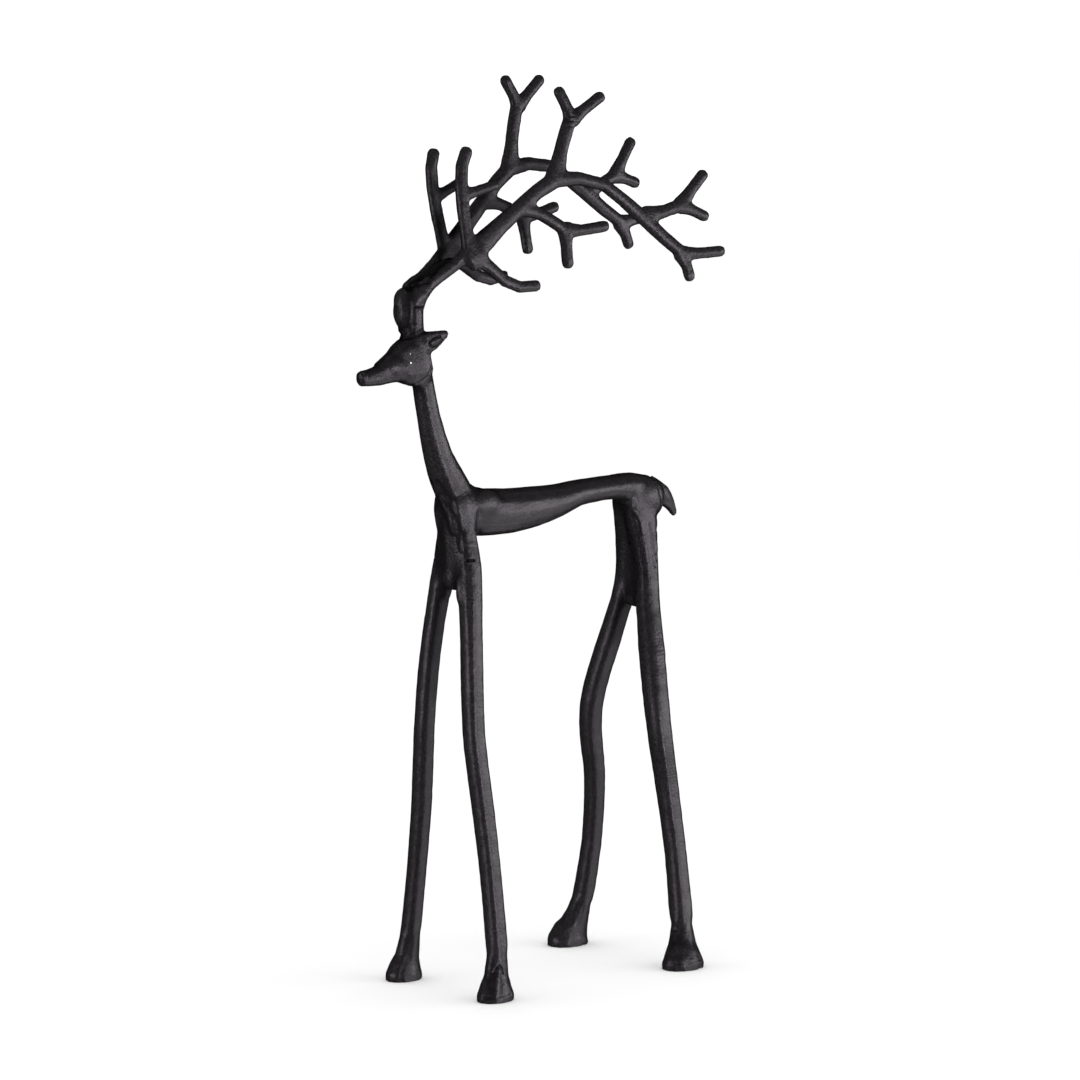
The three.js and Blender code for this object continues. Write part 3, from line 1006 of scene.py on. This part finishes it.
def mix_colors(share, first, second):
    """A Mix node for colours; a colour is a triple or a socket."""
    node = nodes.nodes.new("ShaderNodeMix")
    node.data_type = "RGBA"
    nodes.links.new(share, node.inputs[0])
    for socket, color in ((node.inputs[6], first), (node.inputs[7], second)):
        if isinstance(color, tuple):
            socket.default_value = (*color, 1)
        else:
            nodes.links.new(color, socket)
    return node.outputs[2]


color = mix_colors(worn, COAT_COLOR, WORN_COLOR)
# Painted shade darkens corners and creases.
color = mix_colors(shade_and_dull, color, CORNER_SHADE_COLOR)
# Two small near-white specks on the near cheek.
color = mix_colors(speck_node.outputs["Bare"], color, SPECK_WHITE)
nodes.links.new(color, shader.inputs["Base Color"])
print("a worn ridge is", round(WORN_COLOR[0] / COAT_COLOR[0], 1), "times as bright as the coat")

# %% Its gloss and grain
COAT_ROUGHNESS = 0.3
MOTTLE_ROUGHER, WORN_ROUGHER, CORNER_ROUGHER = 0.07, -0.03, 0.3
BUMP_DISTANCE = 0.24 * MM

mottle = grain_node.outputs["Mottle"]
roughness = COAT_ROUGHNESS
for share, rougher in ((mottle, MOTTLE_ROUGHER), (worn, WORN_ROUGHER), (shade_and_dull, CORNER_ROUGHER)):
    roughness = calculate(nodes, "MULTIPLY_ADD", share, rougher, roughness)
nodes.links.new(roughness, shader.inputs["Roughness"])

bump = nodes.nodes.new("ShaderNodeBump")
bump.inputs["Distance"].default_value = BUMP_DISTANCE
relief_height = calculate(nodes, "ADD", grain_node.outputs["Height"], filed_node.outputs["Height"])
nodes.links.new(relief_height, bump.inputs["Height"])
nodes.links.new(bump.outputs["Normal"], shader.inputs["Normal"])
print("the grain is up to", round(BUMP_DISTANCE / MM, 2), "mm high")

# %% Dress the casting
skin.data.materials.clear()
skin.data.materials.append(coat)
for face in skin.data.polygons:
    face.use_smooth = True
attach(skin, "root")
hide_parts("stag")
print("the coat has", len(nodes.nodes), "nodes")

# %% [markdown]
# ## Floor, walls of light, and darkness in front
# Black metal shows its shape only by what it mirrors. The photographer had a big white wall of
# light to the right, a smaller lamp in front on each side, and darkness round the camera, so the
# faces turned to the lens stay black between two bright streaks. The camera looks a little down,
# so the legs mirror what is lower than the stand. The wall of light therefore reaches far
# below it, with a brighter band at body and antler height and a low card for the undersides.
# The floor and the sky are pale paper. They light the metal softly, but its gloss doesn't see
# them, as if black flags stood between, or every downward face would shine.

# %% Floor and sky
FLOOR_HALF = 7.0
PAPER_WHITE = 0.9
SKY_STRENGTH = 1.12

floor_mesh = bpy.data.meshes.new("floor")
bm = bmesh.new()
bmesh.ops.create_grid(bm, x_segments=1, y_segments=1, size=FLOOR_HALF)
bm.to_mesh(floor_mesh)
bm.free()
floor = bpy.data.objects.new("floor", floor_mesh)
bpy.context.scene.collection.objects.link(floor)
floor.visible_glossy = False
floor.visible_shadow = False

paper = bpy.data.materials.new("paper")
paper.use_nodes = True
paper_shader = paper.node_tree.nodes["Principled BSDF"]
paper_shader.inputs["Base Color"].default_value = (PAPER_WHITE, PAPER_WHITE, PAPER_WHITE, 1)
paper_shader.inputs["Roughness"].default_value = 1.0
paper_shader.inputs["Specular IOR Level"].default_value = 0.0
floor_mesh.materials.append(paper)

sky = bpy.data.worlds.new("studio")
bpy.context.scene.world = sky
sky.use_nodes = True
background = sky.node_tree.nodes["Background"]
background.inputs["Color"].default_value = (1, 1, 1, 1)
background.inputs["Strength"].default_value = SKY_STRENGTH
sky.cycles_visibility.glossy = False
bpy.context.scene.view_settings.view_transform = "Standard"
print("the floor is", 2 * FLOOR_HALF, "m wide")

# %% Lamps
AIM_HEIGHT = 0.27
LAMPS = [  # name, degrees to the camera's right, height, distance, (width, height), watts
    ("right_wall", 86, -0.2, 1.5, (1.3, 1.5), 4.8),
    ("right_band", 86, 0.3, 1.48, (1.3, 0.45), 5.8),
    ("low_right", 80, -1.2, 1.1, (1.6, 1.0), 5.5),
    ("front_right", 43, 0.0, 1.9, (0.35, 0.95), 11),
    ("front_left", -62, 0.15, 1.9, (0.35, 0.5), 4.8),
]


def softbox(name, angle, height, distance, size, power):
    """A lamp that looks at the stag's middle, from an angle measured round it from the camera."""
    turn = math.atan2(-gaze.y, -gaze.x) + math.radians(angle)
    place = Vector((math.cos(turn) * distance, math.sin(turn) * distance, height))
    data = bpy.data.lights.new(name, "AREA")
    data.shape = "RECTANGLE"
    data.size, data.size_y = size
    data.energy = power
    lamp = bpy.data.objects.new(name, data)
    bpy.context.scene.collection.objects.link(lamp)
    lamp.location = place
    aim = Vector((0, 0, AIM_HEIGHT)) - place
    lamp.rotation_mode = "QUATERNION"
    lamp.rotation_quaternion = aim.to_track_quat("-Z", "Y")


for lamp_settings in LAMPS:
    softbox(*lamp_settings)
    print("lamp", lamp_settings[0], "gives", lamp_settings[-1], "W")
